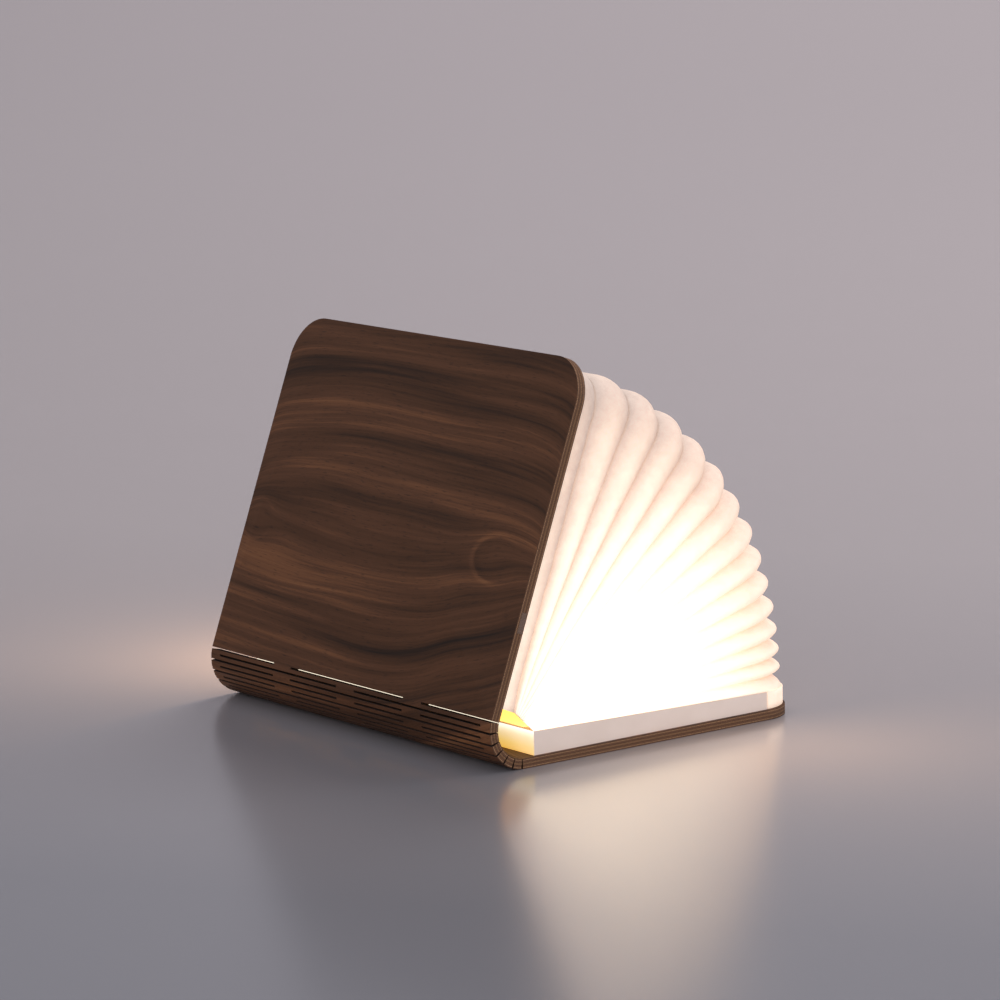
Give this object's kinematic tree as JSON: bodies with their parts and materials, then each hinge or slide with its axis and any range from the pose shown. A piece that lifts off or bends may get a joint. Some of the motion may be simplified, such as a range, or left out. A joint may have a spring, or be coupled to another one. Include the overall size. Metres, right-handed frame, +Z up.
{
  "type": "folding book lamp",
  "caption": "Book-shaped folding lamp: plywood covers joined by a slit living-hinge spine, with a lit fan of pleated paper pages between them.",
  "frame": {"origin": "centre of the base cover's underside, on the surface that the lamp stands on", "axes": "+X from the spine to the fore-edge, +Y along the spine from tail to head, +Z up"},
  "size_m": [0.1785, 0.215, 0.1748],
  "materials": {
    "walnut_ply": "oiled walnut veneer on plywood",
    "walnut_slats": "oiled walnut veneer, laser-cut edges",
    "walnut_plug": "walnut plug, sanded flush",
    "white_abs": "moulded ABS, fine matt",
    "zinc_screws": "zinc-plated",
    "battery_foil": "pouch foil",
    "lead_insulation": "soft insulation",
    "circuit_board": "solder mask",
    "socket_steel": "drawn shell",
    "white_aluminium": "white solder mask on aluminium",
    "diode_phosphor": "phosphor under clear resin",
    "opal_acrylic": "opal, frosted",
    "magnet_nickel": "nickel plated",
    "page_paper": "spun-bonded sheet, folded"
  },
  "bodies": {
    "base": {"base_cover": "walnut_ply", "block_shell": "white_abs", "block_floor": "white_abs", "floor_screws": "zinc_screws", "battery_cell": "battery_foil", "battery_lead": "lead_insulation", "main_board": "circuit_board", "board_screws": "zinc_screws", "charging_socket": "socket_steel", "sensor_board": "circuit_board", "sensor_lead": "lead_insulation", "light_strip": "white_aluminium", "light_diodes": "diode_phosphor", "light_lead": "lead_insulation", "light_diffuser": "opal_acrylic", "base_magnets": "magnet_nickel", "page_end_lower": "page_paper", "page_pleat_01": "page_paper"},
    "slat_01": {"spine_slat_01": "walnut_slats", "page_pleat_02": "page_paper", "page_pleat_03": "page_paper"},
    "slat_02": {"spine_slat_02": "walnut_slats", "page_pleat_04": "page_paper"},
    "slat_03": {"spine_slat_03": "walnut_slats", "page_pleat_05": "page_paper"},
    "slat_04": {"spine_slat_04": "walnut_slats", "page_pleat_06": "page_paper"},
    "slat_05": {"spine_slat_05": "walnut_slats", "page_pleat_07": "page_paper"},
    "slat_06": {"spine_slat_06": "walnut_slats", "page_pleat_08": "page_paper"},
    "slat_07": {"spine_slat_07": "walnut_slats", "page_pleat_09": "page_paper"},
    "slat_08": {"spine_slat_08": "walnut_slats", "page_pleat_10": "page_paper"},
    "slat_09": {"spine_slat_09": "walnut_slats"},
    "slat_10": {"spine_slat_10": "walnut_slats", "page_pleat_11": "page_paper"},
    "slat_11": {"spine_slat_11": "walnut_slats", "page_pleat_12": "page_paper"},
    "slat_12": {"spine_slat_12": "walnut_slats", "page_pleat_13": "page_paper"},
    "upper_cover": {"upper_cover": "walnut_ply", "edge_plug": "walnut_plug", "sensor_magnet": "magnet_nickel", "cover_magnets": "magnet_nickel", "page_end_upper": "page_paper"}
  },
  "joints": [
    {"name": "spine_fold_01", "type": "hinge", "parent": "base", "child": "slat_01", "pos_m": [-0.0812, 0, 0.0023], "axis": [0, -1, 0], "range_deg": [-5.35, 22.35], "deforming": ["page_end_lower", "page_pleat_01", "page_pleat_02", "page_pleat_03"]},
    {"name": "spine_fold_02", "type": "hinge", "parent": "slat_01", "child": "slat_02", "pos_m": [-0.08357, 0, 0.00265], "axis": [0, -1, 0], "range_deg": [-5.35, 22.35], "deforming": ["page_pleat_04"]},
    {"name": "spine_fold_03", "type": "hinge", "parent": "slat_02", "child": "slat_03", "pos_m": [-0.08587, 0, 0.00336], "axis": [0, -1, 0], "range_deg": [-5.35, 22.35], "deforming": ["page_pleat_05"]},
    {"name": "spine_fold_04", "type": "hinge", "parent": "slat_03", "child": "slat_04", "pos_m": [-0.08804, 0, 0.00439], "axis": [0, -1, 0], "range_deg": [-5.35, 22.35], "deforming": ["page_pleat_06"]},
    {"name": "spine_fold_05", "type": "hinge", "parent": "slat_04", "child": "slat_05", "pos_m": [-0.09002, 0, 0.00573], "axis": [0, -1, 0], "range_deg": [-5.35, 22.35], "deforming": ["page_pleat_07"]},
    {"name": "spine_fold_06", "type": "hinge", "parent": "slat_05", "child": "slat_06", "pos_m": [-0.09179, 0, 0.00735], "axis": [0, -1, 0], "range_deg": [-5.35, 22.35], "deforming": ["page_pleat_08"]},
    {"name": "spine_fold_07", "type": "hinge", "parent": "slat_06", "child": "slat_07", "pos_m": [-0.0933, 0, 0.00922], "axis": [0, -1, 0], "range_deg": [-5.35, 22.35], "deforming": ["page_pleat_09"]},
    {"name": "spine_fold_08", "type": "hinge", "parent": "slat_07", "child": "slat_08", "pos_m": [-0.09452, 0, 0.01129], "axis": [0, -1, 0], "range_deg": [-5.35, 22.35], "deforming": ["page_pleat_10"]},
    {"name": "spine_fold_09", "type": "hinge", "parent": "slat_08", "child": "slat_09", "pos_m": [-0.09542, 0, 0.01351], "axis": [0, -1, 0], "range_deg": [-5.35, 22.35]},
    {"name": "spine_fold_10", "type": "hinge", "parent": "slat_09", "child": "slat_10", "pos_m": [-0.09598, 0, 0.01585], "axis": [0, -1, 0], "range_deg": [-5.35, 22.35], "deforming": ["page_pleat_11"]},
    {"name": "spine_fold_11", "type": "hinge", "parent": "slat_10", "child": "slat_11", "pos_m": [-0.09619, 0, 0.01824], "axis": [0, -1, 0], "range_deg": [-5.35, 22.35], "deforming": ["page_pleat_12"]},
    {"name": "spine_fold_12", "type": "hinge", "parent": "slat_11", "child": "slat_12", "pos_m": [-0.09604, 0, 0.02063], "axis": [0, -1, 0], "range_deg": [-5.35, 22.35], "deforming": ["page_pleat_13"]},
    {"name": "spine_fold_13", "type": "hinge", "parent": "slat_12", "child": "upper_cover", "pos_m": [-0.09555, 0, 0.02298], "axis": [0, -1, 0], "range_deg": [-5.35, 22.35], "deforming": ["page_end_upper"]}
  ],
  "couplings": [
    {"joint": "spine_fold_02", "follows": "spine_fold_01", "ratio": 1},
    {"joint": "spine_fold_03", "follows": "spine_fold_01", "ratio": 1},
    {"joint": "spine_fold_04", "follows": "spine_fold_01", "ratio": 1},
    {"joint": "spine_fold_05", "follows": "spine_fold_01", "ratio": 1},
    {"joint": "spine_fold_06", "follows": "spine_fold_01", "ratio": 1},
    {"joint": "spine_fold_07", "follows": "spine_fold_01", "ratio": 1},
    {"joint": "spine_fold_08", "follows": "spine_fold_01", "ratio": 1},
    {"joint": "spine_fold_09", "follows": "spine_fold_01", "ratio": 1},
    {"joint": "spine_fold_10", "follows": "spine_fold_01", "ratio": 1},
    {"joint": "spine_fold_11", "follows": "spine_fold_01", "ratio": 1},
    {"joint": "spine_fold_12", "follows": "spine_fold_01", "ratio": 1},
    {"joint": "spine_fold_13", "follows": "spine_fold_01", "ratio": 1}
  ]
}
